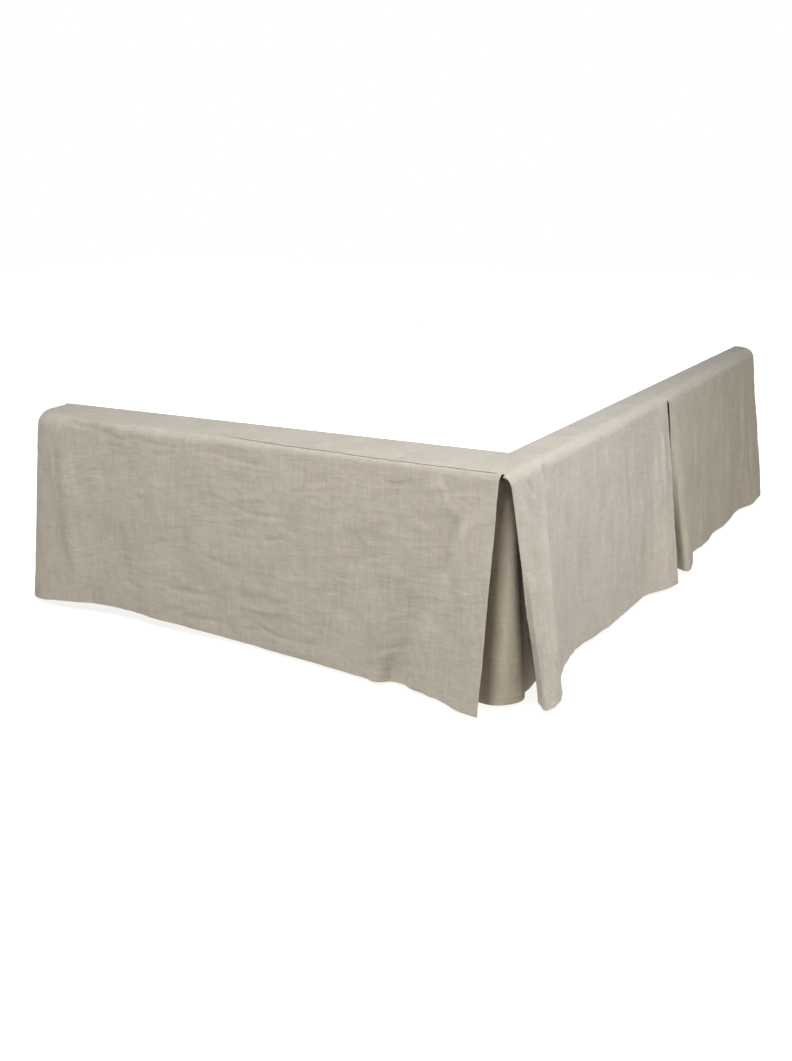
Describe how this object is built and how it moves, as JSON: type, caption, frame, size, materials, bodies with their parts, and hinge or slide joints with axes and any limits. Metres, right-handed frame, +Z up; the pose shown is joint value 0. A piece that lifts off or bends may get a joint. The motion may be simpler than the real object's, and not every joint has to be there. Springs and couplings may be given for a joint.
{
  "type": "bed skirt on a plain bed base",
  "caption": "Tailored linen bed skirt with flat top margins, long plain drops and underlaid splits at the foot corners and mid-sides, fitted over a plain bed base on round legs.",
  "frame": {"origin": "on the floor, at the middle of the centre leg's foot, under the middle of the bed base", "axes": "+X to the right when standing at the foot of the bed, +Y from the foot to the head, +Z up"},
  "size_m": [1.558, 2.1178, 0.512],
  "materials": {
    "linen": "matte woven linen",
    "deck_cotton": "matte plain cotton",
    "base_cloth": "matte plain weave",
    "leg_wood": "satin clear finish"
  },
  "bodies": {
    "root": {"bed_base": "base_cloth", "leg_foot_left": "leg_wood", "leg_foot_right": "leg_wood", "leg_head_left": "leg_wood", "leg_head_right": "leg_wood", "leg_centre": "leg_wood", "deck": "deck_cotton", "margin_foot": "linen", "margin_right": "linen", "margin_left": "linen", "panel_foot": "linen", "panel_right_foot": "linen", "panel_right_head": "linen", "panel_left_foot": "linen", "panel_left_head": "linen", "underlay_corner_right": "linen", "underlay_corner_left": "linen", "underlay_middle_right": "linen", "underlay_middle_left": "linen"}
  },
  "joints": []
}
